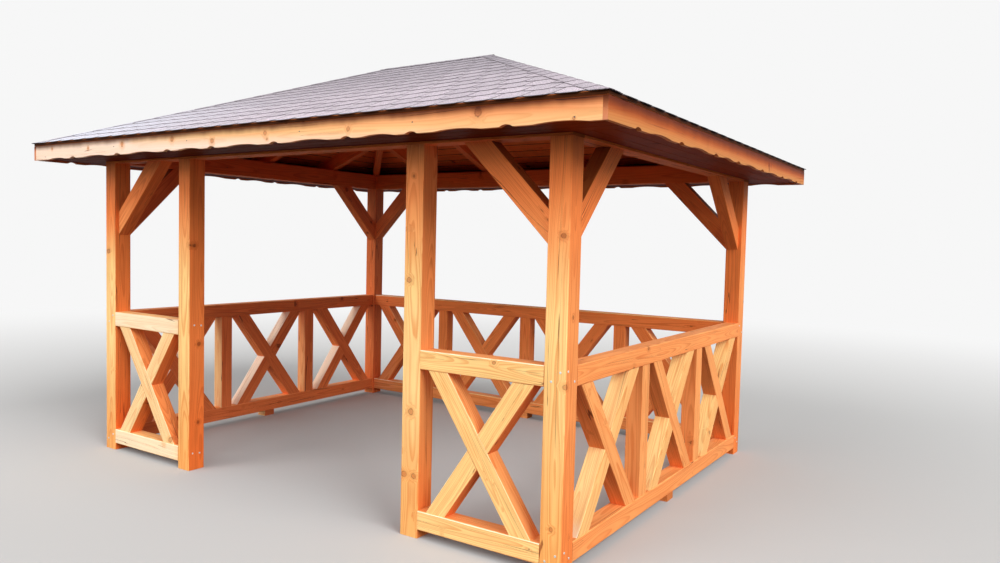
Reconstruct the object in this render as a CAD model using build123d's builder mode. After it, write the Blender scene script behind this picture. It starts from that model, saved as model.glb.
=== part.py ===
from build123d import *
import math
import os

# Open garden gazebo of square timber under a low hipped roof, in millimetres.
# +Z is up and the origin is on the ground in the middle of the plan.
# +X runs along the long front from left to right, and the entry is at -Y.

# Frame
frame_width = 3860
frame_depth = 2895
post_side = 120
post_height = 2104
front_panel_width = 756
plate_height = 140
edge_radius = 6

# Balustrade
rail_side = 104
bottom_rail_lift = 48
top_rail_top = 1020
stile_width = 104
infill_thickness = 96
infill_edge_radius = 4
cross_width = 104
cross_end_gap = 52
foot_block_length = 100
foot_block_width = 90
side_bays = 3
back_bays = 4

# Knee braces
brace_leg = 520
brace_width = 120
brace_thickness = 88
brace_back_gap = 4

# Roof
roof_pitch = 21.5
eave_overhang = 336
fascia_lift = 1
fascia_height = 99
fascia_thickness = 24
soffit_lift = 14
soffit_thickness = 18
deck_thickness = 18
shingle_thickness = 9
shingle_reach = 14
rafter_width = 60
rafter_depth = 110
hip_rafter_drop = 132
ridge_beam_drop = 140
jack_spacing = 768.5

# Scalloped edge of the fascia boards, cut from one pattern that repeats along each side.
# The notches stand at these shares of the pattern, and an arch takes half of the run between two.
pattern_length = 1497
notch_shares = (0.044, 0.327, 0.685)
pattern_start_front = -2242
pattern_start_side = -1962
notch_width = 70
notch_rise = 11
arch_share = 0.5
arch_rise = 9
plain_end = 100

os.makedirs("parts", exist_ok=True)

half_width = frame_width / 2
half_depth = frame_depth / 2
plate_top = post_height + plate_height
top_rail_bottom = top_rail_top - rail_side
bottom_rail_top = bottom_rail_lift + rail_side
infill_height = top_rail_bottom - bottom_rail_top
infill_inset = (rail_side - infill_thickness) / 2

slope = math.tan(math.radians(roof_pitch))
upright_factor = 1 / math.cos(math.radians(roof_pitch))
eave_x = half_width + eave_overhang
eave_y = half_depth + eave_overhang
ridge_half = eave_x - eave_y
fascia_bottom = post_height + fascia_lift
fascia_top = fascia_bottom + fascia_height
soffit_underside = post_height + soffit_lift
soffit_top = soffit_underside + soffit_thickness
far = 2 * frame_width

# Each wall as a plane on the outer faces of its posts, seen from outside:
# x to the right, y up and z outward
front_wall = Plane(origin=(0, -half_depth, 0), x_dir=(1, 0, 0), z_dir=(0, -1, 0))
right_wall = Plane(origin=(half_width, 0, 0), x_dir=(0, 1, 0), z_dir=(1, 0, 0))
back_wall = Plane(origin=(0, half_depth, 0), x_dir=(-1, 0, 0), z_dir=(0, 1, 0))
left_wall = Plane(origin=(-half_width, 0, 0), x_dir=(0, -1, 0), z_dir=(-1, 0, 0))


def keep(piece, name):
    """Names the finished piece and writes it to its own file."""
    piece.part.label = name
    export_step(piece.part, f"parts/{name}.step")


def outline(plane, points):
    """A flat face through the points, in the plane's own x and y."""
    with BuildSketch(plane) as face:
        with BuildLine():
            Polyline(*points, close=True)
        make_face()
    return face.sketch


def box_points(left, right, bottom, top):
    return [(left, bottom), (right, bottom), (right, top), (left, top)]


def equal_bays(clear_length, count):
    """The clear spans between the stiles that divide one balustrade, from left to right."""
    bay = (clear_length - (count - 1) * stile_width) / count
    starts = [-clear_length / 2 + n * (bay + stile_width) for n in range(count)]
    return [(start, start + bay) for start in starts]


front_edge = half_width - post_side
front_bays = [(-front_edge, front_panel_width - front_edge), (front_edge - front_panel_width, front_edge)]
wall_bays = {
    "front": (front_wall, front_bays),
    "right": (right_wall, equal_bays(frame_depth - 2 * post_side, side_bays)),
    "back": (back_wall, equal_bays(frame_width - 2 * post_side, back_bays)),
    "left": (left_wall, equal_bays(frame_depth - 2 * post_side, side_bays)),
}

# Posts: four at the corners and two that frame the entry
entry_x = half_width - post_side - front_panel_width - post_side / 2
corner_x = half_width - post_side / 2
corner_y = half_depth - post_side / 2
posts = {
    "post_front_left": (-corner_x, -corner_y),
    "post_entry_left": (-entry_x, -corner_y),
    "post_entry_right": (entry_x, -corner_y),
    "post_front_right": (corner_x, -corner_y),
    "post_back_right": (corner_x, corner_y),
    "post_back_left": (-corner_x, corner_y),
}
for name, (x, y) in posts.items():
    with BuildPart() as post:
        with BuildSketch(Plane.XY):
            with Locations((x, y)):
                Rectangle(post_side, post_side)
        extrude(amount=post_height)
        fillet(post.edges().filter_by(Axis.Z), edge_radius)
    keep(post, name)

# Wall plates: the front and back ones run through, the side ones stand between them
plate_runs = {
    "plate_front": (front_wall, half_width),
    "plate_right": (right_wall, half_depth - post_side),
    "plate_back": (back_wall, half_width),
    "plate_left": (left_wall, half_depth - post_side),
}
for name, (wall, half_run) in plate_runs.items():
    with BuildPart() as plate:
        extrude(outline(wall, box_points(-half_run, half_run, post_height, plate_top)), amount=-post_side)
        long_edges = plate.edges().filter_by(lambda edge: edge.length > half_run)
        fillet(long_edges.group_by(Axis.Z)[0], edge_radius)
    keep(plate, name)

# Knee braces: one each way from every corner post up to the plates, cut at 45 degrees
brace_cut = brace_width * math.sqrt(2)
brace_outer = post_side - brace_back_gap - brace_thickness
for name, (wall, half_run) in {
    "knee_braces_front": (front_wall, front_edge),
    "knee_braces_right": (right_wall, half_depth - post_side),
    "knee_braces_back": (back_wall, front_edge),
    "knee_braces_left": (left_wall, half_depth - post_side),
}.items():
    with BuildPart() as braces:
        for side in (-1, 1):
            at_post = side * half_run
            brace_face = [
                (at_post, post_height - brace_leg),
                (at_post, post_height - brace_leg + brace_cut),
                (at_post - side * (brace_leg - brace_cut), post_height),
                (at_post - side * brace_leg, post_height),
            ]
            extrude(outline(wall.offset(-brace_outer), brace_face), amount=-brace_thickness)
        sloping = braces.edges().filter_by(lambda edge: edge.length > 1.2 * (brace_leg - brace_cut))
        fillet(sloping, infill_edge_radius)
    keep(braces, name)

# Rails: square timbers between the posts, flush with their outer faces
for height_name, rail_bottom in (("top", top_rail_bottom), ("bottom", bottom_rail_lift)):
    for wall_name, (wall, bays) in wall_bays.items():
        spans = bays if wall_name == "front" else [(bays[0][0], bays[-1][1])]
        with BuildPart() as rails:
            for left, right in spans:
                extrude(outline(wall, box_points(left, right, rail_bottom, rail_bottom + rail_side)),
                        amount=-rail_side)
            long_edges = rails.edges().filter_by(lambda edge: edge.length > 2 * rail_side)
            fillet(long_edges, edge_radius)
        keep(rails, f"{height_name}_rails_{wall_name}")

# Stiles: uprights between the rails, one between each two crosses
for wall_name in ("right", "back", "left"):
    wall, bays = wall_bays[wall_name]
    with BuildPart() as stiles:
        for left, right in bays[:-1]:
            stile_face = box_points(right, right + stile_width, bottom_rail_top, top_rail_bottom)
            extrude(outline(wall.offset(-infill_inset), stile_face), amount=-infill_thickness)
        fillet(stiles.edges().filter_by(Axis.Z), infill_edge_radius)
    keep(stiles, f"stiles_{wall_name}")


def cross_timber(left, right, rising):
    """One diagonal of a cross, with level cuts on the rails a little in from the bay's corners."""
    span = right - left - 2 * cross_end_gap
    k = (cross_width / infill_height) ** 2
    cut = (math.sqrt((k * span) ** 2 + (1 - k) * (cross_width**2 + k * span**2)) - k * span) / (1 - k)
    low_left, low_right = left + cross_end_gap, right - cross_end_gap
    if rising:
        return [(low_left, bottom_rail_top), (low_left + cut, bottom_rail_top),
                (low_right, top_rail_bottom), (low_right - cut, top_rail_bottom)]
    return [(low_right - cut, bottom_rail_top), (low_right, bottom_rail_top),
            (low_left + cut, top_rail_bottom), (low_left, top_rail_bottom)]


# Crosses: full-thickness diagonals halved into each other, so that both faces are flush.
# Seen from outside, the falling timber keeps its outer half and the rising one its inner half.
for wall_name, (wall, bays) in wall_bays.items():
    for direction in ("falling", "rising"):
        rising = direction == "rising"
        halving = wall.offset(-infill_inset) if rising else wall.offset(-infill_inset - infill_thickness / 2)
        with BuildPart() as crosses:
            for left, right in bays:
                extrude(outline(wall.offset(-infill_inset), cross_timber(left, right, rising)),
                        amount=-infill_thickness)
            long_edges = crosses.edges().filter_by(lambda edge: edge.length > infill_height)
            fillet(long_edges, infill_edge_radius)
            for left, right in bays:
                extrude(outline(halving, cross_timber(left, right, not rising)),
                        amount=-infill_thickness / 2, mode=Mode.SUBTRACT)
        keep(crosses, f"cross_{direction}_{wall_name}")

# Foot blocks: short blocks that hold up the long bottom rails at mid length
with BuildPart() as foot_blocks:
    for wall in (right_wall, back_wall, left_wall):
        block_face = box_points(-foot_block_length / 2, foot_block_length / 2, 0, bottom_rail_lift)
        block_inset = (rail_side - foot_block_width) / 2
        extrude(outline(wall.offset(-block_inset), block_face), amount=-foot_block_width)
keep(foot_blocks, "foot_blocks")


def board_underside(distance):
    """Height of the underside of the roof boards, that far in from the outer face of the fascia."""
    return fascia_top + distance * slope


# Two long tents whose common space is all that lies under the roof boards
long_tent = outline(Plane.YZ, [(-eave_y, 0), (eave_y, 0), (eave_y, fascia_top), (0, board_underside(eave_y)),
                               (-eave_y, fascia_top)])
cross_tent = outline(Plane.XZ, [(-eave_x, 0), (eave_x, 0), (eave_x, fascia_top), (0, board_underside(eave_x)),
                                (-eave_x, fascia_top)])

# Rafters seen from the end of the roof: plumb cut at the top, notched over the plate,
# and cut level at the tail where the soffit boards are nailed up
rafter_drop = rafter_depth * upright_factor
tail = fascia_thickness
seat_inside = (plate_top + rafter_drop - fascia_top) / slope
tail_level = (soffit_top + rafter_drop - fascia_top) / slope


def rafter_profile(half_run, top_cut):
    """Side face of a rafter whose tail is half_run from the middle and whose top stops at top_cut."""
    points = [
        (half_run - tail, board_underside(tail)),
        (top_cut, board_underside(half_run - top_cut)),
        (top_cut, board_underside(half_run - top_cut) - rafter_drop),
        (half_run - seat_inside, plate_top),
        (half_run - eave_overhang, plate_top),
        (half_run - eave_overhang, board_underside(eave_overhang) - rafter_drop),
        (half_run - tail_level, soffit_top),
        (half_run - tail, soffit_top),
    ]
    return points


# Plan strips of the hip rafters, which the jack rafters are cut against
hip_offset = rafter_width / math.sqrt(2)
hip_strips = []
for sx, sy in ((1, 1), (1, -1), (-1, 1), (-1, -1)):
    hip_strips.append([(sx * (ridge_half - hip_offset), 0), (sx * (ridge_half + hip_offset), 0),
                       (sx * (eave_x + hip_offset), sy * eave_y), (sx * (eave_x - hip_offset), sy * eave_y)])

# Rafters of the front and back slopes: commons at the ridge ends, jacks out to the hips
side_rafter_plans = {ridge_half: rafter_width / 2, ridge_half + jack_spacing: jack_spacing}
with BuildPart() as slope_rafters:
    for sx in (-1, 1):
        for sy in (-1, 1):
            for along, top_cut in side_rafter_plans.items():
                face = [(sy * y, z) for y, z in rafter_profile(eave_y, top_cut)]
                extrude(outline(Plane.YZ.offset(sx * along - rafter_width / 2), face), amount=rafter_width)
    for strip in hip_strips:
        extrude(outline(Plane.XY, strip), amount=far, mode=Mode.SUBTRACT)
keep(slope_rafters, "slope_rafters")

# Rafters of the two hipped ends: one in the middle and a jack each side of it
end_rafter_plans = {0: ridge_half + rafter_width / 2, jack_spacing: ridge_half + jack_spacing,
                    -jack_spacing: ridge_half + jack_spacing}
with BuildPart() as end_rafters:
    for sx in (-1, 1):
        for along, top_cut in end_rafter_plans.items():
            face = [(sx * x, z) for x, z in rafter_profile(eave_x, top_cut)]
            extrude(outline(Plane.XZ.offset(-along - rafter_width / 2), face), amount=rafter_width)
    for strip in hip_strips:
        extrude(outline(Plane.XY, strip), amount=far, mode=Mode.SUBTRACT)
keep(end_rafters, "end_rafters")

# Hip rafters: along the four hips, bevelled on top to both slopes and let down over the plates
with BuildPart() as hip_rafters:
    for sx, sy in ((1, 1), (1, -1), (-1, 1), (-1, -1)):
        hip_plane = Plane(origin=(sx * ridge_half, 0, 0), x_dir=(sx, sy, 0), z_dir=(sy, -sx, 0))
        run = (eave_y - fascia_thickness) * math.sqrt(2)
        top = board_underside(eave_y)
        low = board_underside(fascia_thickness)
        side = [(0, top), (run, low), (run, low - hip_rafter_drop), (0, top - hip_rafter_drop)]
        extrude(outline(hip_plane, side), amount=rafter_width / 2, both=True)
    extrude(long_tent, amount=far, both=True, mode=Mode.INTERSECT)
    extrude(cross_tent, amount=far, both=True, mode=Mode.INTERSECT)
    # Nose cuts against the ridge beam, the common rafters and the end rafters
    extrude(outline(Plane.XY, box_points(-far, far, -rafter_width / 2, rafter_width / 2)), amount=far,
            mode=Mode.SUBTRACT)
    nose = ridge_half + rafter_width / 2
    extrude(outline(Plane.XY, box_points(-nose, nose, -far, far)), amount=far, mode=Mode.SUBTRACT)
    # Seats on the plates, and level cuts above the soffit
    extrude(outline(Plane.XY, box_points(-half_width, half_width, -half_depth, half_depth)), amount=plate_top,
            mode=Mode.SUBTRACT)
    extrude(outline(Plane.XY, box_points(-far, far, -far, far)), amount=soffit_top, mode=Mode.SUBTRACT)
    # Tails stop at the inner faces of the fascia boards
    tail_x = eave_x - fascia_thickness
    tail_y = eave_y - fascia_thickness
    extrude(outline(Plane.XY, box_points(-tail_x, tail_x, -tail_y, tail_y)), amount=far, mode=Mode.INTERSECT)
keep(hip_rafters, "hip_rafters")

# Ridge beam: between the tops of the rafters, bevelled to the slopes
ridge_top = board_underside(eave_y)
with BuildPart() as ridge_beam:
    beam_end = ridge_half + rafter_width / 2
    beam_face = box_points(-rafter_width / 2, rafter_width / 2, ridge_top - ridge_beam_drop, ridge_top)
    extrude(outline(Plane.YZ.offset(-beam_end), beam_face), amount=2 * beam_end)
    extrude(long_tent, amount=far, both=True, mode=Mode.INTERSECT)
    extrude(cross_tent, amount=far, both=True, mode=Mode.INTERSECT)
keep(ridge_beam, "ridge_beam")

# Fascia boards: the side ones cover the ends of the front and back ones


def scalloped_edge(start, end, pattern_start):
    """Lower edge from start to end: small round notches with a wide shallow arch between each two."""
    notches = []
    lap = math.floor((start - pattern_start) / pattern_length) - 1
    while pattern_start + lap * pattern_length < end + pattern_length:
        notches += [pattern_start + (lap + share) * pattern_length for share in notch_shares]
        lap += 1
    curves = []
    for here, following in zip(notches, notches[1:]):
        if start + plain_end < here < end - plain_end:
            curves.append((here, notch_width, notch_rise))
        middle = (here + following) / 2
        arch_width = arch_share * (following - here)
        if start < middle - arch_width / 2 and middle + arch_width / 2 < end:
            curves.append((middle, arch_width, arch_rise))
    return curves


def fascia_face(plane, start, end, pattern_start, top):
    """Outer face of a fascia board, with its lower edge cut to the pattern."""
    with BuildSketch(plane) as face:
        with BuildLine():
            here = (start, fascia_bottom)
            for middle, width, rise in scalloped_edge(start, end, pattern_start):
                Line(here, (middle - width / 2, fascia_bottom))
                here = (middle + width / 2, fascia_bottom)
                ThreePointArc((middle - width / 2, fascia_bottom), (middle, fascia_bottom + rise), here)
            Polyline(here, (end, fascia_bottom), (end, top), (start, top), (start, fascia_bottom))
        make_face()
    return face.sketch


fascia_inner_top = board_underside(fascia_thickness)
for name, plane, half_run, pattern_start in (
        ("fascia_front", front_wall.offset(eave_overhang), eave_x - fascia_thickness, pattern_start_front),
        ("fascia_right", right_wall.offset(eave_overhang), eave_y, pattern_start_side),
        ("fascia_back", back_wall.offset(eave_overhang), eave_x - fascia_thickness, pattern_start_front),
        ("fascia_left", left_wall.offset(eave_overhang), eave_y, pattern_start_side)):
    with BuildPart() as fascia:
        extrude(fascia_face(plane, -half_run, half_run, pattern_start, fascia_inner_top),
                amount=-fascia_thickness)
        extrude(long_tent, amount=far, both=True, mode=Mode.INTERSECT)
        extrude(cross_tent, amount=far, both=True, mode=Mode.INTERSECT)
    keep(fascia, name)

# Soffit boards: level boards that close the eaves between the fascia and the plates
inner_x = eave_x - fascia_thickness
inner_y = eave_y - fascia_thickness
with BuildPart() as soffits_long:
    for sy in (-1, 1):
        plan = box_points(-inner_x, inner_x, *sorted((sy * half_depth, sy * inner_y)))
        extrude(outline(Plane.XY.offset(soffit_underside), plan), amount=soffit_thickness)
keep(soffits_long, "soffits_front_back")
with BuildPart() as soffits_short:
    for sx in (-1, 1):
        plan = box_points(*sorted((sx * half_width, sx * inner_x)), -half_depth, half_depth)
        extrude(outline(Plane.XY.offset(soffit_underside), plan), amount=soffit_thickness)
keep(soffits_short, "soffits_sides")


def roof_plans(reach):
    """Plan outlines of the four slopes out to that far beyond the fascia, split at the hips and ridge."""
    x, y = eave_x + reach, eave_y + reach
    return {
        "front": [(-x, -y), (x, -y), (ridge_half, 0), (-ridge_half, 0)],
        "back": [(x, y), (-x, y), (-ridge_half, 0), (ridge_half, 0)],
        "right": [(x, -y), (x, y), (ridge_half, 0)],
        "left": [(-x, y), (-x, -y), (-ridge_half, 0)],
    }


def slope_profile(run, reach, lift, thickness):
    """Section of one roof layer from its eave to the middle of the plan, lifted above the board underside."""
    low = fascia_top - reach * slope + lift
    high = board_underside(run) + lift
    return [(run + reach, low), (0, high), (0, high + thickness), (run + reach, low + thickness)]


# Roof boards and shingles: each slope is one sheet, mitred to its neighbours on the hips and ridge
deck_rise = deck_thickness * upright_factor
shingle_rise = shingle_thickness * upright_factor
for layer, reach, lift, rise in (
        ("roof_boards", 0, 0, deck_rise),
        ("shingles", shingle_reach, deck_rise, shingle_rise)):
    for side, plan in roof_plans(reach).items():
        along_x = side in ("right", "left")
        sign = 1 if side in ("back", "right") else -1
        run = eave_x if along_x else eave_y
        section = [(sign * across, height) for across, height in slope_profile(run, reach, lift, rise)]
        with BuildPart() as sheet:
            extrude(outline(Plane.XZ if along_x else Plane.YZ, section), amount=far, both=True)
            extrude(outline(Plane.XY, plan), amount=far, mode=Mode.INTERSECT)
        keep(sheet, f"{layer}_{side}")
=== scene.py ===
import math
import random

import bmesh
import bpy
from mathutils import Matrix, Vector


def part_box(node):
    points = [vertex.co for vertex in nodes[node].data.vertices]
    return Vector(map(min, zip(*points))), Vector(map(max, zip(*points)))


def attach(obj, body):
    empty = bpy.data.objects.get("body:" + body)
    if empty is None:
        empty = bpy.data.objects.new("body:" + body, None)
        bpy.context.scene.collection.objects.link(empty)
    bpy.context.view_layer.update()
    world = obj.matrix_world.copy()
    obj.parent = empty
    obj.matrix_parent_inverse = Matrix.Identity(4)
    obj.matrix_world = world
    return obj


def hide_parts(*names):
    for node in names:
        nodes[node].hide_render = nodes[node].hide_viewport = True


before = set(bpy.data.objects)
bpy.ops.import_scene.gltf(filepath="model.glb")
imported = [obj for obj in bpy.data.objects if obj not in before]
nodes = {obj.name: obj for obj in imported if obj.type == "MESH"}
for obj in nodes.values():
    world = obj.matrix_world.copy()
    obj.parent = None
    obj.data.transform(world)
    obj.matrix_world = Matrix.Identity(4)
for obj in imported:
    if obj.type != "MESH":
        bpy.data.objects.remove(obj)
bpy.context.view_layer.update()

# Posts
# Six pieces of 120 mm square pine, planed, with eased edges, under a honey-brown stain.
# The corner ones carry the plates and braces, and the other two frame the entry.


def corners_of(name):
    """The lowest and the highest corner of a node, to a tenth of a millimetre."""
    return [tuple(round(value, 4) for value in corner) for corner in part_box(name)]


def middle_of(name):
    low, high = corners_of(name)
    return [(start + end) / 2 for start, end in zip(low, high)]


def feed(tree, node, inputs):
    """Sets inputs of a shader node. Each is a number, a red, green and blue, or the output that feeds it."""
    for place, value in inputs.items():
        if isinstance(value, bpy.types.NodeSocket):
            tree.links.new(value, node.inputs[place])
        else:
            is_colour = node.inputs[place].type == "RGBA"
            node.inputs[place].default_value = (*value, 1.0) if is_colour else value


def add(tree, kind, inputs, **settings):
    """A new shader node with its settings and inputs."""
    node = tree.nodes.new("ShaderNode" + kind)
    for setting, value in settings.items():
        setattr(node, setting, value)
    feed(tree, node, inputs)
    return node


def calc(tree, operation, *values, clamp=False):
    return add(tree, "Math", dict(enumerate(values)), operation=operation, use_clamp=clamp).outputs[0]


def times(tree, value, factor):
    return calc(tree, "MULTIPLY", value, factor)


def scaled(tree, value, factor, offset, clamp=False):
    return calc(tree, "MULTIPLY_ADD", value, factor, offset, clamp=clamp)


def vector_calc(tree, operation, *values, single=False):
    worked = add(tree, "VectorMath", dict(enumerate(values)), operation=operation)
    return worked.outputs["Value" if single else "Vector"]


def combine(tree, x, y, z):
    return add(tree, "CombineXYZ", {0: x, 1: y, 2: z}).outputs[0]


def split(tree, vector):
    return add(tree, "SeparateXYZ", {0: vector}).outputs


def fade(tree, value, start, end, low=0.0, high=1.0):
    """A smooth step from low to high while the value goes from start to end."""
    inputs = {"Value": value, "From Min": start, "From Max": end, "To Min": low, "To Max": high}
    return add(tree, "MapRange", inputs, interpolation_type="SMOOTHSTEP").outputs[0]


def mottle(tree, vector, scale, detail=2.0, roughness=0.5):
    inputs = {"Vector": vector, "Scale": scale, "Detail": detail, "Roughness": roughness}
    return add(tree, "TexNoise", inputs)


def tint(tree, amount, under, over, way="MIX"):
    """Lays one colour over another by an amount."""
    return add(tree, "Mix", {0: amount, 6: under, 7: over}, data_type="RGBA", blend_type=way).outputs[2]


eave_x, eave_y, _ = corners_of("fascia_right")[1]
eave_level = 2.25


def paling_by_light(tree, extra_paling):
    """How much paler the wood is painted, as painted light: 0 is the deep stain of shaded faces, 1 the pale
    stain of lit faces and 2 the palest, for the most strongly lit. A face is painted paler as far as it sees
    the sky past the eaves, most of all toward the front.
    Also gives the share of the left wall, and the three parts of the way that the face looks."""
    surface = add(tree, "NewGeometry", {}).outputs
    here, facing = split(tree, surface["Position"]), split(tree, surface["Normal"])
    drop = calc(tree, "MAXIMUM", calc(tree, "SUBTRACT", eave_level, here[2]), 0.0)
    lit_from_ground = fade(tree, here[2], 1.0, 1.7, 0.2, 0.0)
    overhung = scaled(tree, facing[2], 1.3, 1.0, clamp=True)

    # Painted light: the front counts less on the right wall, more on the left wall and the panel left of the
    # entry
    behind_front = fade(tree, here[1], -1.33, -1.2)
    in_front = calc(tree, "SUBTRACT", 1.0, behind_front)
    right_wall = times(tree, fade(tree, here[0], 1.3, 1.7), behind_front)
    left_wall = times(tree, fade(tree, here[0], -1.2, -1.7), behind_front)
    left_panel = times(tree, fade(tree, here[0], -1.02, -1.12), in_front)
    front_share = 1.0
    for place, change in ((right_wall, -0.8), (left_wall, 0.5), (left_panel, 0.35)):
        front_share = scaled(tree, place, change, front_share)

    most_open = 0.0
    light_paling = extra_paling
    for axis, sense, eave, share in ((1, -1, eave_y, front_share), (0, 1, eave_x, 0.26),
                                     (1, 1, eave_y, 0.3), (0, -1, eave_x, 0.3)):
        inward = scaled(tree, here[axis], -1.5 * sense, 1.5 * eave)
        inward = calc(tree, "MAXIMUM", inward, 0.001)
        sky_seen = calc(tree, "DIVIDE", drop, calc(tree, "ADD", drop, inward))
        sky_seen = fade(tree, calc(tree, "ADD", sky_seen, lit_from_ground), 0.38, 0.86)
        most_open = calc(tree, "MAXIMUM", most_open, sky_seen)
        outward = calc(tree, "MAXIMUM", times(tree, facing[axis], sense), 0.0)
        outward = times(tree, times(tree, outward, share), overhung)
        light_paling = scaled(tree, outward, sky_seen, light_paling)

    # Faces that also look up are painted paler still, as painted light, more so where they lean to the front
    leaning = calc(tree, "MAXIMUM", times(tree, facing[1], -1.0), 0.0)
    lean_share = scaled(tree, right_wall, -1.3, 2.1)
    lean_share = scaled(tree, left_wall, 1.5, lean_share)
    leaning = scaled(tree, leaning, lean_share, 0.3)
    upward = times(tree, calc(tree, "MAXIMUM", facing[2], 0.0), leaning)
    return scaled(tree, upward, most_open, light_paling), left_wall, facing


def stained_pine():
    """Pine sawn from a trunk: growth rings round a wandering heart, knots, fibres and drying cracks.
    Place is x along the grain, y and z across it, from the middle of the timber, in metres."""
    tree = bpy.data.node_groups.new("stained_pine", "ShaderNodeTree")
    for name, kind in (("Place", "Vector"), ("Timber", "Float"), ("End", "Float"), ("Knots", "Float"),
                       ("ExtraPaling", "Float"), ("Grain", "Float")):
        tree.interface.new_socket(name, in_out="INPUT", socket_type="NodeSocket" + kind)
    for name, kind in (("Colour", "Color"), ("Roughness", "Float"), ("Height", "Float")):
        tree.interface.new_socket(name, in_out="OUTPUT", socket_type="NodeSocket" + kind)
    given = tree.nodes.new("NodeGroupInput").outputs
    result = tree.nodes.new("NodeGroupOutput").inputs

    x, y, z = split(tree, given["Place"])
    along = scaled(tree, given["Timber"], 5.137, x)
    trunk = combine(tree, along, y, z)

    def drawn_out(lengthwise, crosswise, detail, roughness=0.5):
        """Mottling drawn out along the grain, with so many spots to the metre each way."""
        place = vector_calc(tree, "MULTIPLY", trunk, (lengthwise, crosswise, crosswise))
        return mottle(tree, place, 1.0, detail, roughness).outputs[0]

    def astray(chance, width):
        return vector_calc(tree, "MULTIPLY_ADD", chance, (width,) * 3, (-width / 2,) * 3)

    # Heart of the trunk: near the middle of the timber, and never quite straight
    sway_place = combine(tree, times(tree, along, 0.9), 0.0, 0.0)
    sway = mottle(tree, sway_place, 1.0, 1.0).outputs["Color"]
    start = add(tree, "TexWhiteNoise", {"W": given["Timber"]}, noise_dimensions="1D").outputs["Color"]
    heart = vector_calc(tree, "ADD", astray(sway, 0.09), astray(start, 0.07))
    section = combine(tree, 0.0, y, z)
    outward = vector_calc(tree, "MULTIPLY", vector_calc(tree, "SUBTRACT", section, heart), (0.0, 1.0, 1.0))
    radius = vector_calc(tree, "LENGTH", outward, single=True)
    _, toward_y, toward_z = split(tree, vector_calc(tree, "NORMALIZE", outward))

    # Knots: branches that run out from the heart, a few to the metre, with ragged edges
    branches_per_metre, knot_chance, nowhere = 15.0, 0.03, 20.0
    branch_place = combine(tree, times(tree, along, branches_per_metre), toward_y, toward_z)
    branches = add(tree, "TexVoronoi", {"Vector": branch_place, "Scale": 1.0, "Randomness": 0.9}).outputs
    chance, thickness, _ = split(tree, branches["Color"])
    grown = calc(tree, "LESS_THAN", chance, knot_chance)
    thickness = scaled(tree, thickness, 0.16, 0.14)
    apart = calc(tree, "DIVIDE", branches["Distance"], thickness)
    apart = scaled(tree, calc(tree, "SUBTRACT", 1.0, grown), nowhere, apart)
    apart = calc(tree, "MINIMUM", apart, given["Knots"])
    ragged_place = vector_calc(tree, "MULTIPLY", given["Place"], (60.0, 60.0, 60.0))
    ragged = scaled(tree, mottle(tree, ragged_place, 1.0, 2.0).outputs[0], 0.7, 0.65)
    apart = times(tree, apart, ragged)

    # Growth rings, pushed outward round each knot, with a hard dark late wood at the end of each year
    rings_per_metre = 150.0
    ripple = scaled(tree, drawn_out(3.0, 16.0, 2.0), 0.008, -0.004)
    swell = fade(tree, apart, 0.6, 3.4, 0.013, 0.0)
    depth = calc(tree, "ADD", calc(tree, "ADD", radius, ripple), swell)
    season = combine(tree, times(tree, depth, 42.0), given["Timber"], 0.0)
    pace = times(tree, mottle(tree, season, 1.0, 2.0).outputs[0], 2.5)
    ring = calc(tree, "FRACT", scaled(tree, depth, rings_per_metre, pace))
    late = times(tree, fade(tree, ring, 0.3, 0.9), fade(tree, ring, 0.92, 1.0, 1.0, 0.0))
    band_place = combine(tree, times(tree, along, 0.7), times(tree, depth, 95.0), 3.0)
    bands = mottle(tree, band_place, 1.0, 2.5, 0.6).outputs[0]

    # Fibres, stain that took unevenly, and drying cracks that follow the grain
    fibres = drawn_out(9.0, 380.0, 3.0, 0.65)
    streaks = drawn_out(2.2, 75.0, 3.0, 0.6)
    blotches = drawn_out(2.4, 9.0, 3.0, 0.55)
    crack_place = combine(tree, times(tree, along, 0.5), times(tree, toward_y, 2.6),
                          times(tree, toward_z, 2.6))
    crack_line = calc(tree, "SUBTRACT", mottle(tree, crack_place, 1.0, 1.0).outputs[0], 0.5)
    opening_place = vector_calc(tree, "MULTIPLY_ADD", crack_place, (2.2, 1.0, 1.0), (7.0, 4.0, 2.0))
    opening = fade(tree, mottle(tree, opening_place, 1.0, 2.0).outputs[0], 0.51, 0.64, 0.0001, 0.012)
    from_crack = calc(tree, "DIVIDE", calc(tree, "ABSOLUTE", crack_line), opening)
    crack = fade(tree, from_crack, 0.35, 1.0, 1.0, 0.0)

    # What shows in both versions of the stain, the one painted for shaded faces and the one painted for lit
    # ones
    darkness = scaled(tree, late, 0.56, scaled(tree, bands, 1.3, -0.58))
    darkness = scaled(tree, streaks, 0.80, calc(tree, "SUBTRACT", darkness, 0.36), clamp=True)
    darkness = scaled(tree, calc(tree, "SUBTRACT", darkness, 0.4), given["Grain"], 0.4)
    shade = scaled(tree, blotches, 0.44, scaled(tree, fibres, 0.26, -0.35))
    shade = scaled(tree, shade, given["Grain"], 1.02)
    knot_rings = calc(tree, "SINE", times(tree, apart, 19.0))
    knot_rings = scaled(tree, knot_rings, 0.5, 0.5)
    inside = fade(tree, apart, 0.80, 1.05, 0.85, 0.0)
    rim = times(tree, fade(tree, apart, 0.78, 1.0), fade(tree, apart, 1.02, 1.25, 1.0, 0.0))
    rim = times(tree, rim, fade(tree, streaks, 0.35, 0.55, 0.25, 1.0))

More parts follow.
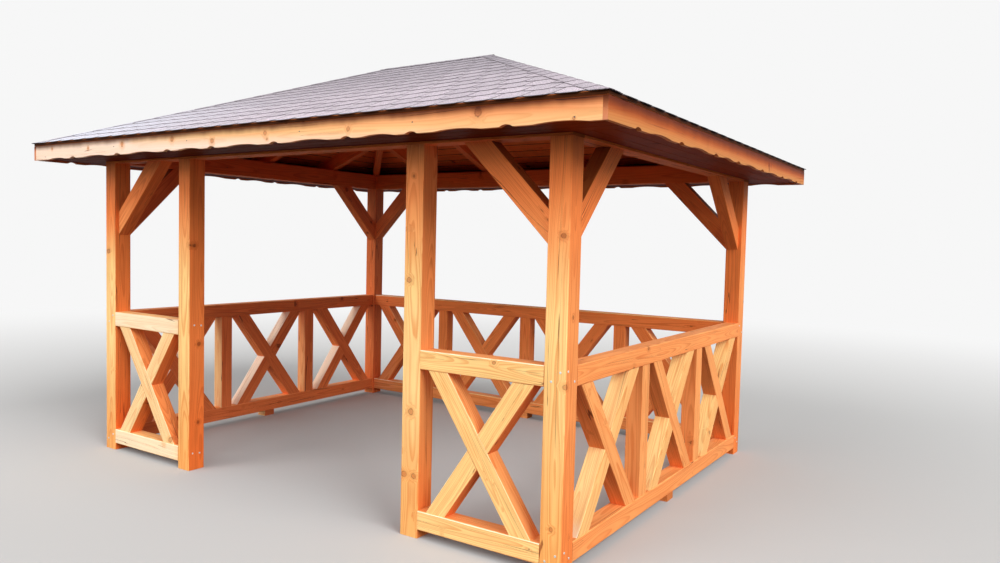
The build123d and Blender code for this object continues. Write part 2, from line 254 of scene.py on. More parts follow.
    def coat(evenness, early_wood, late_wood, near_knot, knot_light, knot_dark, bark, cut_end, gap):
        """The whole wood in one of the two painted versions of the stain, for shaded faces and for lit ones.
        """
        unevenness = scaled(tree, shade, 1.0 - evenness, evenness)
        colour = tint(tree, darkness, early_wood, late_wood)
        colour = tint(tree, 1.0, colour, combine(tree, unevenness, unevenness, unevenness), "MULTIPLY")
        colour = tint(tree, fade(tree, apart, 0.9, 3.4, 0.60, 0.0), colour, near_knot)
        colour = tint(tree, inside, colour, tint(tree, knot_rings, knot_light, knot_dark))
        colour = tint(tree, times(tree, rim, 0.75), colour, bark)
        colour = tint(tree, times(tree, given["End"], 0.75), colour, cut_end)
        return tint(tree, times(tree, crack, 0.85), colour, gap)

    # The stain is painted from its shaded version to its lit one and its palest: painted light and shade
    light_paling, left_wall, facing = paling_by_light(tree, given["ExtraPaling"])
    wear_and_light = fade(tree, light_paling, 1.0, 2.0)
    deep = coat(evenness=0.15, early_wood=(0.930, 0.242, 0.056), late_wood=(0.715, 0.146, 0.032),
                near_knot=(0.620, 0.124, 0.024), knot_light=(0.450, 0.095, 0.018),
                knot_dark=(0.270, 0.052, 0.012), bark=(0.130, 0.030, 0.010),
                cut_end=(0.440, 0.105, 0.028), gap=(0.190, 0.042, 0.014))
    pale = coat(evenness=0.38, early_wood=tint(tree, wear_and_light, (0.985, 0.655, 0.256), (0.985, 0.800, 0.560)),
                late_wood=tint(tree, wear_and_light, (0.830, 0.320, 0.085), (0.940, 0.650, 0.375)),
                near_knot=(0.870, 0.420, 0.140), knot_light=(0.800, 0.360, 0.130),
                knot_dark=(0.580, 0.215, 0.070), bark=(0.220, 0.075, 0.028),
                cut_end=(0.720, 0.225, 0.065), gap=(0.330, 0.110, 0.035))
    colour = tint(tree, calc(tree, "MULTIPLY", light_paling, 1.0, clamp=True), deep, pale)

    # On the left wall the inner faces are painted darker as painted shade, and the front faces whiter as
    # painted light
    shaded_inner_face = times(tree, left_wall, calc(tree, "MAXIMUM", facing[0], 0.0))
    colour = tint(tree, shaded_inner_face, colour, (0.86, 0.79, 1.0), "MULTIPLY")
    lit_front_face = calc(tree, "MAXIMUM", times(tree, facing[1], -1.0), 0.0)
    lit_front_face = times(tree, left_wall, lit_front_face)
    tree.links.new(tint(tree, lit_front_face, colour, (1.0, 0.95, 1.10), "MULTIPLY"), result["Colour"])

    sheen = scaled(tree, fibres, 0.24, 0.50)
    tree.links.new(scaled(tree, given["End"], 0.2, sheen), result["Roughness"])
    height = scaled(tree, late, 0.18, times(tree, fibres, 0.55))
    height = scaled(tree, crack, -2.4, height)
    tree.links.new(scaled(tree, rim, -0.5, height), result["Height"])
    return tree


pine = stained_pine()


def new_finish(name):
    """A new material, its nodes and its shader."""
    material = bpy.data.materials.new(name)
    material.use_nodes = True
    return material, material.node_tree, material.node_tree.nodes["Principled BSDF"]


def stained(name, place_in_timber, own_knots=(), extra_paling=0.0, shade_and_dirt=None, gloss=0.13, grain=1.0):
    """A material of stained pine. place_in_timber gives the place, the timber's number and its end grain.
    own_knots are (along, across, through, radius) of knots that this timber has, in metres.
    The extra paling is how much paler it is painted than its place accounts for, as painted light. As a
    pair it goes from the left end of the gazebo to the right one, and gives way to painted shade on the
    strip under the shingles.
    The shade and dirt function gives what the colour is multiplied by: painted shade on most pieces, and a
    deeper stain toward the ground on the posts.
    grain is how strongly the grain shows."""
    material, tree, shader = new_finish(name)
    place, timber, end = place_in_timber(tree)
    if isinstance(extra_paling, tuple):
        sideways, _, height = split(tree, add(tree, "NewGeometry", {}).outputs["Position"])
        # Painted shade: the wood is painted less pale on the strip just under the shingles
        shingle_shade = fade(tree, height, 2.105, 2.195, 0.0, 0.85)
        extra_paling = calc(tree, "SUBTRACT", fade(tree, sideways, -2.2, 2.2, *extra_paling), shingle_shade)
    nearest = 20.0
    x, y, z = split(tree, place)
    for along, across, through, radius in own_knots:
        reach = math.hypot(across, through)
        aside = calc(tree, "SUBTRACT", times(tree, y, through / reach),
                     times(tree, z, across / reach))
        outward = scaled(tree, y, across / reach, times(tree, z, through / reach))
        far_side = calc(tree, "LESS_THAN", outward, 0.0)
        offset = combine(tree, calc(tree, "SUBTRACT", x, along), aside, far_side)
        spread = calc(tree, "DIVIDE", vector_calc(tree, "LENGTH", offset, single=True), radius)
        nearest = calc(tree, "MINIMUM", nearest, spread)
    wood = add(tree, "Group", {})
    wood.node_tree = pine
    feed(tree, wood, {"Place": place, "Timber": timber, "End": end, "Knots": nearest, "ExtraPaling": extra_paling,
                      "Grain": grain})
    colour = wood.outputs["Colour"]
    if shade_and_dirt:
        colour = tint(tree, 1.0, colour, shade_and_dirt(tree), "MULTIPLY")
    bump = add(tree, "Bump", {"Height": wood.outputs["Height"], "Distance": 0.001, "Strength": 0.7})
    feed(tree, shader, {"Base Color": colour, "Roughness": wood.outputs["Roughness"],
                        "Normal": bump.outputs[0], "Specular IOR Level": gloss})
    return material


def timber_place(along, across, centre, number, mirrored=(), bays=None):
    """For a timber that stays as the frame has it: its place follows from where it stands.
    mirrored names the axes it is repeated across, and bays is (axis, first centre, pitch) of a row.
    Each copy gets a timber number of its own, so that no two show the same grain."""
    along, across = Vector(along).normalized(), Vector(across).normalized()

    def place_in_timber(tree):
        parts = list(split(tree, add(tree, "TexCoord", {}).outputs["Object"]))
        facing = list(split(tree, add(tree, "NewGeometry", {}).outputs["Normal"]))
        timber = float(number)
        for axis in mirrored:
            side = calc(tree, "SIGN", parts[axis])
            timber = scaled(tree, side, 1.7 + axis, timber)
            facing[axis] = times(tree, facing[axis], side)
            parts[axis] = calc(tree, "ABSOLUTE", parts[axis])
        if bays:
            axis, first, pitch = bays
            step = calc(tree, "DIVIDE", calc(tree, "SUBTRACT", parts[axis], first - pitch / 2), pitch)
            bay = calc(tree, "FLOOR", step)
            timber = scaled(tree, bay, 3.31, timber)
            in_bay = calc(tree, "SUBTRACT", calc(tree, "SUBTRACT", step, bay), 0.5)
            parts[axis] = times(tree, in_bay, pitch)
        inside = vector_calc(tree, "SUBTRACT", combine(tree, *parts), tuple(centre))
        sides = [vector_calc(tree, "DOT_PRODUCT", inside, tuple(side), single=True)
                 for side in (along, across, along.cross(across))]
        end = vector_calc(tree, "DOT_PRODUCT", combine(tree, *facing), tuple(along), single=True)
        end = fade(tree, calc(tree, "ABSOLUTE", end), 0.55, 0.8)
        return combine(tree, *sides), timber, end

    return place_in_timber


def dress(material, *names):
    """Gives nodes of the frame a finish."""
    for name in names:
        nodes[name].data.materials.clear()
        nodes[name].data.materials.append(material)


def damp_foot(tree):
    """Splashed rain has kept the stain deeper toward the ground."""
    height = split(tree, add(tree, "NewGeometry", {}).outputs["Position"])[2]
    return tint(tree, fade(tree, height, 0.1, 0.9), (0.95, 0.72, 0.56), (1.0, 1.0, 1.0))


post_x, post_y, _ = middle_of("post_back_right")
entry_x = middle_of("post_entry_right")[0]
face = 0.06
post_knots = {
    "front_right": [(1.638, 0.029, -face, 0.011), (0.235, 0.003, -face, 0.010), (0.928, face, -face, 0.012)],
    "entry_right": [(1.939, -0.005, -face, 0.007), (1.388, -0.024, -face, 0.013),
                    (0.682, 0.002, -face, 0.015), (0.335, -0.037, -face, 0.015),
                    (0.335, 0.030, -face, 0.013)],
    "entry_left": [(0.859, face, 0.016, 0.012), (0.323, face, 0.012, 0.010)],
}
# Each post's own paling makes it lighter or darker, as painted light and shade
for number, (corner, extra_paling) in enumerate((("front_left", -0.2), ("entry_left", 0.0), ("entry_right", 0.15),
                                           ("front_right", 0.0), ("back_right", 0.0), ("back_left", 0.0))):
    name = "post_" + corner
    x, y, _ = middle_of(name)
    place = timber_place((0, 0, 1), (1, 0, 0), (x, y, 0), number + 1)
    dress(stained("stain_" + name, place, post_knots.get(corner, ()), extra_paling, damp_foot), name)

# Wall plates
# Heavy timbers of the same stained pine, laid on the posts on all four sides.
# They tie the posts together and carry the feet of the rafters.
wall_axis = {"front": 0, "back": 0, "right": 1, "left": 1}


def unit(axis):
    return tuple(1.0 if n == axis else 0.0 for n in range(3))


for number, (wall, axis) in enumerate(wall_axis.items()):
    name = "plate_" + wall
    place = timber_place(unit(axis), unit(1 - axis), middle_of(name), number + 11)
    dress(stained("stain_" + name, place, gloss=0.04), name)

# Knee braces
# Short stained timbers cut at 45 degrees, one each way from every corner post up to the plates,
# that keep the frame square.
brace_width = 0.120
brace_low, brace_high = corners_of("knee_braces_front")
brace_leg = brace_high[2] - brace_low[2]
to_middle = brace_leg / 2 - brace_width / 2 / math.sqrt(2)


def shaded_brace_tops(tree):
    """The upper sides of the braces lie close under the soffit and are painted dark as painted shade."""
    facing = split(tree, add(tree, "NewGeometry", {}).outputs["Normal"])[2]
    return fade(tree, facing, 0.3, 0.6, 1.0, 0.36)


for number, (wall, axis) in enumerate(wall_axis.items()):
    centre = middle_of("knee_braces_" + wall)
    centre[axis] = (post_x, post_y)[axis] - face - to_middle
    centre[2] = brace_high[2] - to_middle
    along, across = [0, 0, 1], [0, 0, 1]
    along[axis], across[axis] = -1, 1
    place = timber_place(along, across, centre, 21 + 1.5 * number, (axis,))
    dress(stained("stain_braces_" + wall, place, shade_and_dirt=shaded_brace_tops), "knee_braces_" + wall)

# Rails
# Square stained timbers between the posts, flush with their outer faces: a handrail and a bottom rail on
# each side, screwed through the posts into their ends. On the front they come in two short lengths.
panel_x = (entry_x + post_x) / 2
for height, first_number in (("top", 35.84), ("bottom", 31.5)):
    for number, (wall, axis) in enumerate(wall_axis.items()):
        name = f"{height}_rails_{wall}"
        centre, mirrored, extra_paling = middle_of(name), (), 0.0
        # The front rails are painted paler toward the left, as painted light
        if wall == "front":
            centre[0], mirrored, extra_paling = panel_x, (0,), (0.5, 0.0)
        place = timber_place(unit(axis), unit(1 - axis), centre, number + first_number, mirrored)
        dress(stained(f"stain_{height}_rail_{wall}", place, extra_paling=extra_paling), name)

# Stiles and crosses
# Between the rails, upright stained stiles part the bays, and two diagonals cross in each bay.
# The diagonals are halved into each other, so that their faces are flush.
rail_gap_low, rail_gap_high = corners_of("stiles_back")
rise = rail_gap_high[2] - rail_gap_low[2]
# For each wall: its axis, the way that runs left to right seen from outside, the number of bays, their
# pitch, and how far a diagonal goes sideways on its way up
bay_walls = {
    "front": (0, 1, 2, 2 * panel_x, 0.52575),
    "right": (1, 1, 3, 0.9197, 0.5874),
    "back": (0, -1, 4, 0.931, 0.5986),
    "left": (1, -1, 3, 0.9197, 0.5874),
}
# How much paler the timbers of the sunniest wall are painted, by piece, as painted light
sunlit_paling = {"cross_rising_right": 0.50, "cross_falling_right": 0.12, "stiles_right": 0.12}
for number, (wall, (axis, sense, count, pitch, spread)) in enumerate(bay_walls.items()):
    first = -pitch * (count - 1) / 2
    for direction, fall in (("falling", -1), ("rising", 1)):
        name = f"cross_{direction}_{wall}"
        along = [0.0, 0.0, fall * rise]
        along[axis] = sense * spread
        place = timber_place(along, unit(1 - axis), middle_of(name), 41 + 2.3 * number + fall, (),
                             (axis, first, pitch))
        dress(stained("stain_" + name, place, extra_paling=sunlit_paling.get(name, 0.0)), name)
    if wall != "front":
        name = "stiles_" + wall
        place = timber_place((0, 0, 1), unit(axis), middle_of(name), 61 + 1.9 * number, (),
                             (axis, first + pitch / 2, pitch))
        dress(stained("stain_" + name, place, extra_paling=sunlit_paling.get(name, 0.0)), name)

# Foot blocks
# Short blocks of the same pine under the long bottom rails at mid length.
# They stand on the ground and keep the rails from sagging.
block_z = middle_of("foot_blocks")[2]
place = timber_place((1, 0, 0), (0, 1, 0), (0, 0, block_z), 71, (0,))
dress(stained("stain_foot_blocks", place), "foot_blocks")

# Rafters, hips and ridge beam
# Sawn and stained 60 mm timbers under the roof boards, notched over the plates.
# They run from the ridge down to the eaves, and the hips run out to the corners.
pitch_angle = math.radians(21.5)
lean, climb, slope_rise = math.cos(pitch_angle), math.sin(pitch_angle), math.tan(pitch_angle)
ridge_half = corners_of("roof_boards_right")[0][0]
jack_spacing = 0.7685
rafter_z, hip_z, ridge_z = 2.42, 2.84, 2.83
jack_bays, end_bays = (0, ridge_half, jack_spacing), (1, 0.0, jack_spacing)
place = timber_place((0, -lean, climb), (1, 0, 0), (0, 1.1, rafter_z), 81, (0, 1), jack_bays)
dress(stained("stain_slope_rafters", place), "slope_rafters")
place = timber_place((-lean, 0, climb), (0, 1, 0), (1.6, 0, rafter_z), 84, (0,), end_bays)
dress(stained("stain_end_rafters", place), "end_rafters")
place = timber_place((-1, -1, slope_rise), (1, -1, 0), (ridge_half, 0, hip_z), 87, (0, 1))
dress(stained("stain_hip_rafters", place), "hip_rafters")
place = timber_place((1, 0, 0), (0, 1, 0), (0, 0, ridge_z), 90)
dress(stained("stain_ridge_beam", place), "ridge_beam")

# Fascia boards
# Planed and stained boards with a scalloped lower edge, nailed to the rafter tails.
# The side ones cover the ends of the front and back ones.
fascia_z = 2.155
heart_depth = 0.05
shadow_full, shadow_wobble = 2.206, 0.022
front_knots = [(x, z - fascia_z, heart_depth, radius) for x, z, radius in (
    (-2.02, 2.178, 0.007), (-1.557, 2.162, 0.008), (-1.157, 2.170, 0.014), (-0.626, 2.175, 0.013),
    (-0.244, 2.144, 0.013), (0.213, 2.164, 0.012), (0.228, 2.132, 0.006), (0.835, 2.150, 0.011),
    (1.629, 2.179, 0.018), (2.112, 2.120, 0.006))]


def shingle_shadow_line(side_shade, shadow_from, axis):
    """Painted shadow on the strip just under the edge of the shingles, with a ragged edge. The side's
    painted shade is what the wood below is multiplied by, the shadow starts to show from the height given,
    and axis is the one that the board runs along, because its cut ends take a painted shade of their own."""
    def shade_and_dirt(tree):
        surface = add(tree, "NewGeometry", {}).outputs
        spot, facing = surface["Position"], split(tree, surface["Normal"])
        cut_end = fade(tree, calc(tree, "ABSOLUTE", facing[axis]), 0.55, 0.80)
        below = tint(tree, cut_end, side_shade, (0.86, 0.74, 0.95))
        ragged_shadow = mottle(tree, vector_calc(tree, "MULTIPLY", spot, (7.0, 7.0, 1.5)), 1.0, 2.0, 0.6).outputs[0]
        level = calc(tree, "SUBTRACT", split(tree, spot)[2], shadow_wobble / 2)
        level = scaled(tree, ragged_shadow, shadow_wobble, level)
        return tint(tree, fade(tree, level, shadow_from, shadow_full), below, (0.140, 0.080, 0.070))

    return shade_and_dirt


# For each wall: the side of the gazebo it is on, its knots, its paling as painted light, the painted shade
# of the wood below, and where the painted shadow under the shingles starts
fascia_boards = {
    "front": (-1, front_knots, (1.50, 0.15), (1.00, 0.95, 1.10), 2.162),
    "back": (1, (), (0.20, 0.20), (0.70, 0.66, 0.80), 2.162),
    "right": (1, (), (0.38, 0.38), (0.70, 0.60, 0.53), 2.132),
    "left": (-1, (), (0.20, 0.20), (0.70, 0.66, 0.80), 2.162),
}
for number, (wall, (sense, knots, extra_paling, side_shade, shadow_from)) in enumerate(fascia_boards.items()):
    axis = wall_axis[wall]
    centre = [0.0, 0.0, fascia_z]
    centre[1 - axis] = sense * ((eave_y, eave_x)[axis] - heart_depth)
    place = timber_place(unit(axis), (0, 0, 1), centre, number + 93)
    shade_and_dirt = shingle_shadow_line(side_shade, shadow_from, axis)
    dress(stained("stain_fascia_" + wall, place, knots, extra_paling, shade_and_dirt, grain=0.4), "fascia_" + wall)

# Roof boards and soffit boards
# Narrow planed boards of stained pine with a small groove at each joint.
# They are nailed level over the rafters, and under the rafter tails to close the eaves.
fascia_top = corners_of("roof_boards_front")[0][2]
fascia_thickness = 0.024
board_width = 0.112
board_thickness = 0.018
groove = 0.003
half_gap = 0.0006
one_length = 1.3
next_number = 1.37
# For each slope: along the eave, inward from it, half the eave's length, and its distance from the middle
slopes = {
    "front": (Vector((1, 0, 0)), Vector((0, 1, 0)), eave_x, eave_y),
    "right": (Vector((0, 1, 0)), Vector((-1, 0, 0)), eave_y, eave_x),
    "back": (Vector((-1, 0, 0)), Vector((0, -1, 0)), eave_x, eave_y),
    "left": (Vector((0, -1, 0)), Vector((1, 0, 0)), eave_y, eave_x),
}


def on_slope(side, aside, run, lift):
    """A point of one roof slope: aside along the eave, run level distance in from the fascia, lift above the
    boards' underside, plumb."""
    level, inward, _, reach = slopes[side]
    spot = level * aside + inward * (run - reach)
    spot.z = fascia_top + run * slope_rise + lift
    return spot


def new_object(name, data):
    item = bpy.data.objects.new(name, data)
    bpy.context.scene.collection.objects.link(item)
    return item


def new_mesh(name, bm, *finishes):
    mesh = bpy.data.meshes.new(name)
    bm.to_mesh(mesh)
    bm.free()
    for finish in finishes:
        mesh.materials.append(finish)
    return mesh


def new_piece(name, bm, finishes, slot, *replaced):
    """Turns a mesh into a piece that belongs to the frame."""
    bmesh.ops.recalc_face_normals(bm, faces=bm.faces)
    piece = new_object(name, new_mesh(name, bm, *finishes))
    if replaced:
        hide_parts(*replaced)
    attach(piece, "root")


def lay_board(bm, low_corners, high_corners, number, long_axis):
    """One board from its lower and upper corners, with grooved lower edges and its own stretch of grain."""
    grain = bm.verts.layers.float_vector.get("grain") or bm.verts.layers.float_vector.new("grain")
    timber = bm.verts.layers.float.get("timber") or bm.verts.layers.float.new("timber")
    board = bmesh.new()
    low = [board.verts.new(corner) for corner in low_corners]
    high = [board.verts.new(corner) for corner in high_corners]
    board.faces.new(low[::-1])
    board.faces.new(high)
    for n in range(len(low)):
        m = (n + 1) % len(low)
        board.faces.new((low[n], low[m], high[m], high[n]))
    edges = [edge for edge in board.edges if edge.verts[0] in low and edge.verts[1] in low
             and abs((edge.verts[0].co - edge.verts[1].co).normalized().dot(long_axis)) > 0.99]
    bmesh.ops.bevel(board, geom=edges, offset=groove, segments=1, affect="EDGES")
    middle = sum((vert.co for vert in board.verts), Vector()) / len(board.verts)
    up = (high_corners[0] - low_corners[0]).normalized()
    across = long_axis.cross(up).normalized()
    off_heart = 0.06
    copies = {}
    for vert in board.verts:
        copy = bm.verts.new(vert.co)
        offset = vert.co - middle
        copy[grain] = (offset.dot(long_axis), offset.dot(across), offset.dot(up) + off_heart)
        copy[timber] = number
        copies[vert] = copy
    for polygon in board.faces:
        bm.faces.new([copies[vert] for vert in polygon.verts])
    board.free()


def board_place(tree):
    place = add(tree, "Attribute", {}, attribute_name="grain").outputs["Vector"]
    timber = add(tree, "Attribute", {}, attribute_name="timber").outputs["Fac"]
    return place, timber, 0.0


def shaded_board_edges(tree):
    """The edges of the boards, out at the eaves under the shingles, are painted nearly black as painted
    shade.
    """
    facing = split(tree, add(tree, "NewGeometry", {}).outputs["Normal"])[2]
    return fade(tree, calc(tree, "ABSOLUTE", facing), 0.75, 0.90, 0.07, 1.0)


# Boards and soffits are painted only in the deep stain of shaded faces
never_paled = -1.3
board_stain = stained("stain_boards", board_place, (), never_paled, shaded_board_edges, 0.04)
rng = random.Random(7)
number = 100.0
for side, (level, _, half, _) in slopes.items():
    bm = bmesh.new()
    for row in range(math.ceil(eave_y / (board_width * lean))):
        near, far = row * board_width * lean, min((row + 1) * board_width * lean, eave_y)
        spans = [(-1.0, 1.0)]
        if half - near > one_length:
            joint = rng.choice((-0.33, 0.0, 0.33)) * rng.uniform(0.8, 1.1)
            spans = [(-1.0, joint), (joint, 1.0)]
        for left, right in spans:
            plan = []
            for share, run in ((left, near + half_gap), (right, near + half_gap),
                               (right, far - half_gap), (left, far - half_gap)):
                at_hip = half - run
                plan.append((share * at_hip if abs(share) == 1.0 else share * half, run))
            # The topmost board of a hipped end is cut to a point
            if half - far < 0.01:
                plan = [plan[0], plan[1], (0.0, far)]
            lower = [on_slope(side, aside, run, 0.0) for aside, run in plan]
            upper = [on_slope(side, aside, run, board_thickness / lean) for aside, run in plan]
            number += next_number
            lay_board(bm, lower, upper, number, level)
    new_piece("boards_" + side, bm, [board_stain], "boarding", "roof_boards_" + side)


def painted_soffit_shade(tree):
    """The soffit is painted much darker as painted shade, in mottled patches, and less dark toward the right
    end.
    """
    at = add(tree, "TexCoord", {}).outputs["Object"]
    depth = scaled(tree, mottle(tree, at, 3.0, 2.0).outputs[0], 0.10, 0.09)
    depth = times(tree, depth, fade(tree, split(tree, at)[0], 1.8, 2.0, 1.0, 2.4))
    return vector_calc(tree, "MULTIPLY", combine(tree, depth, depth, depth), (0.80, 0.42, 0.26))


soffit_stain = stained("stain_soffit", board_place, (), never_paled, painted_soffit_shade, 0.02)
soffit_z = corners_of("soffits_sides")[0][2]
soffit_rows = 3
plate_x, plate_y, _ = corners_of("plate_back")[1]
inner_x, inner_y = eave_x - fascia_thickness, eave_y - fascia_thickness
for name, walls, half_run, outer, inner in (("front_back", ("front", "back"), inner_x, inner_y, plate_y),
                                            ("sides", ("right", "left"), plate_y, inner_x, plate_x)):
    bm = bmesh.new()
    width = (outer - inner) / soffit_rows
    for side in walls:
        level, inward, _, _ = slopes[side]
        for row in range(soffit_rows):
            near, far = outer - row * width - half_gap, outer - (row + 1) * width + half_gap
            plan = [(-half_run, near), (half_run, near), (half_run, far), (-half_run, far)]
            corners = [level * aside - inward * out for aside, out in plan]
            lower = [Vector((corner.x, corner.y, soffit_z)) for corner in corners]
            upper = [Vector((corner.x, corner.y, soffit_z + board_thickness)) for corner in corners]
            number += next_number
            lay_board(bm, lower, upper, number, level)
    new_piece("soffit_boards_" + name, bm, [soffit_stain], "boarding", "soffits_" + name)

# Shingles
# Bitumen shingles with round-ended tabs, faced with mineral granules and nailed over the boards in courses.
# Each course covers the slits of the one below, and a plain starter strip lies under the first.
felt_thickness = 0.0023
tab_pitch = 0.157
slit = 0.007
exposure = 0.143
tab_corner_x, tab_corner_y = 0.047, 0.043
under_next = 0.004
starter_back = 0.018
deck_lift = board_thickness / lean
shingle_reach = 0.0125
trim_spare = 0.05
# Tones of the felt between the tab ends, less weathered and in painted shade, and in the slits, painted dark
# as shade; a tab's own lies between 0 and 1
between_ends, in_slits = -0.9, -3.2


def granules():
    """Ceramic granules pressed into bitumen: grey, plum and brown grains, with a tone for each tab."""
    material, tree, shader = new_finish("mineral_granules")
    at = add(tree, "TexCoord", {}).outputs["Object"]
    grains = add(tree, "TexVoronoi", {"Vector": at, "Scale": 420.0}).outputs
    ramp = tree.nodes.new("ShaderNodeValToRGB")
    tree.links.new(split(tree, grains["Color"])[0], ramp.inputs[0])
    ramp.color_ramp.interpolation = "CONSTANT"
    stones = ((0.0, (0.180, 0.142, 0.164)), (0.16, (0.308, 0.252, 0.286)), (0.42, (0.404, 0.334, 0.376)),
              (0.68, (0.488, 0.408, 0.458)), (0.88, (0.614, 0.526, 0.578)))
    while len(ramp.color_ramp.elements) < len(stones):
        ramp.color_ramp.elements.new(0.5)
    for element, (spot, colour) in zip(ramp.color_ramp.elements, stones):
        element.position = spot
        element.color = (*colour, 1.0)

    # Clumps of light and dark grains on worn patches; paler toward the eaves and darker toward the ridge is
    # painted reflection of the sky
    tone = add(tree, "Attribute", {}, attribute_name="tone").outputs["Fac"]
    wear_and_light = mottle(tree, at, 3.0, 3.0).outputs[0]
    clumps = mottle(tree, at, 105.0, 3.0, 0.75).outputs[0]
    sideways, _, height = split(tree, at)
    shade = scaled(tree, wear_and_light, 0.26, scaled(tree, tone, 0.20, 0.12))
    shade = scaled(tree, clumps, 1.30, shade)
    shade = times(tree, shade, fade(tree, height, 2.15, 2.95, 1.24, 0.64))
    colour = tint(tree, 1.0, ramp.outputs[0], combine(tree, shade, shade, shade), "MULTIPLY")

    # Painted reflection of the sky: paler and bluer low down toward the left, but not in the slits
    sky_sheen = times(tree, fade(tree, sideways, 0.2, -2.3, 0.0, 0.60), fade(tree, height, 2.3, 2.7, 1.0, 0.0))
    sky_sheen = times(tree, sky_sheen, fade(tree, tone, -1.0, 0.0))
    colour = tint(tree, sky_sheen, colour, (0.740, 0.780, 0.900))
    bump = add(tree, "Bump", {"Height": grains["Distance"], "Distance": 0.001, "Strength": 0.5}, invert=True)
    feed(tree, shader, {"Base Color": colour, "Roughness": 0.9, "Sheen Weight": 0.22,
                        "Sheen Tint": (0.80, 0.86, 1.0), "Normal": bump.outputs[0]})
    return material


def bitumen():
    """Black bitumen felt, as it shows at cut edges."""
    material, tree, shader = new_finish("bitumen")
    at = add(tree, "TexCoord", {}).outputs["Object"]
    patches = mottle(tree, at, 60.0, 3.0).outputs[0]
    colour = tint(tree, patches, (0.042, 0.033, 0.037), (0.105, 0.085, 0.093))
    bump = add(tree, "Bump", {"Height": patches, "Distance": 0.001, "Strength": 0.4})
    feed(tree, shader, {"Base Color": colour, "Roughness": 0.8, "Normal": bump.outputs[0]})
    return material


granule_face, felt_edge = granules(), bitumen()


def course_point(side, aside, up, start, lift):
    """A point of a course that starts that far up the slope; every course leans on the one below."""
    run = (start + up) * lean - shingle_reach
    stack = felt_thickness * (2.0 - up / exposure)
    return on_slope(side, aside, run, deck_lift + (stack + lift) / lean)


def lay_sheet(bm, tone_layer, tone, points_low, points_high):
    """A thin sheet of felt from its under and upper outlines, granules above and bitumen at the edges."""
    low = [bm.verts.new(point) for point in points_low]
    high = [bm.verts.new(point) for point in points_high]
    top = bm.faces.new(high)
    under = bm.faces.new(low[::-1])
    top[tone_layer] = under[tone_layer] = tone
    under.material_index = 1
    for n in range(len(low)):
        m = (n + 1) % len(low)
        rim = bm.faces.new((low[n], low[m], high[m], high[n]))
        rim.material_index = 1
        rim[tone_layer] = tone


def trim(bm, spot, outward):
    """Cuts off what lies beyond a plane and closes the cut ends."""
    bmesh.ops.bisect_plane(bm, geom=bm.verts[:] + bm.edges[:] + bm.faces[:], plane_co=spot, plane_no=outward,
                           clear_outer=True)
    bmesh.ops.holes_fill(bm, edges=[edge for edge in bm.edges if edge.is_boundary], sides=0)


def tab_outline():
    """Half-round end of a tab, from its left side round to its right, as (aside, up)."""
    half = (tab_pitch - slit) / 2
    steps = 5
    points = []
    for n in range(steps + 1):
        turn = math.radians(90 * n / steps)
        points.append((-half + tab_corner_x * (1 - math.cos(turn)), tab_corner_y * (1 - math.sin(turn))))
    return points + [(-aside, up) for aside, up in reversed(points)]


rng = random.Random(11)
tab_end = tab_outline()
first_shift = {"front": 0.041, "right": 0.018, "back": 0.062, "left": 0.033}
for side, (level, inward, half, _) in slopes.items():
    bm = bmesh.new()
    tone_layer = bm.faces.layers.float.new("tone")
    length = (eave_y + shingle_reach) / lean
    for course in range(-1, math.ceil(length / exposure)):
        start = max(course, 0) * exposure
        wide = half + shingle_reach - start * lean + trim_spare
        if course >= 0:
            count = math.ceil(wide / tab_pitch) + 1
            shift = first_shift[side] + (course % 2) * tab_pitch / 2 + rng.uniform(-0.003, 0.003)
            for n in range(-count, count + 1):
                middle = n * tab_pitch + shift
                if abs(middle) - tab_pitch > wide:
                    continue
                curl = rng.choice((0.0, 0.0001, 0.0003, 0.0005, 0.0008))
                swing = rng.uniform(-0.0012, 0.0012)
                sheet = [(middle + aside, up + swing) for aside, up in tab_end]
                sheet += [(sheet[-1][0], exposure + under_next), (sheet[0][0], exposure + under_next)]
                low, high = [], []
                for aside, up in sheet:
                    curled = curl * (1 - up / exposure)
                    low.append(course_point(side, aside, up, start, curled))
                    high.append(course_point(side, aside, up, start, felt_thickness + curled))
                lay_sheet(bm, tone_layer, rng.random(), low, high)
            # Under the next course: darker between the tab ends, as less weathered felt with painted shade,
            # and painted dark in the slits as shade
            slits_from = exposure + tab_corner_y
            strips = ((exposure, slits_from, between_ends), (slits_from, 2 * exposure, in_slits))
            lift = 0.0
        else:
            strips = ((starter_back, tab_corner_y, between_ends), (tab_corner_y, exposure, in_slits))
            lift = -felt_thickness
        for bottom, top, tone in strips:
            strip = [(-wide, bottom), (wide, bottom), (wide, top), (-wide, top)]
            low = [course_point(side, aside, up, start, lift) for aside, up in strip]
            high = [course_point(side, aside, up, start, lift + felt_thickness) for aside, up in strip]
            lay_sheet(bm, tone_layer, tone, low, high)
    # Trim the courses on the hips and at the ridge
    for sense in (-1, 1):
        trim(bm, on_slope(side, sense * half, 0.0, 0.0), (level * sense + inward).normalized())
    trim(bm, on_slope(side, 0.0, eave_y, 0.0), inward)
    new_piece("courses_" + side, bm, [granule_face, felt_edge], "shingle", "shingles_" + side)

# Hip and ridge caps
# Pieces cut from the same shingles and folded over the hips from the eaves up, and along the ridge last.
# Each covers the nailed end of the one before.
cap_wing = 0.070
cap_bend = 0.012
cap_corner = 0.010
cap_length = 0.25
cap_exposure = 0.145
cap_thickness = 0.0018
cap_lap = 0.0031
cap_base = 0.0046
shortest_cap = 0.03
ridge_overhang = 0.02


def slope_normal(side):
    inward = slopes[side][1]
    return (Vector((0, 0, lean)) - inward * climb).normalized()


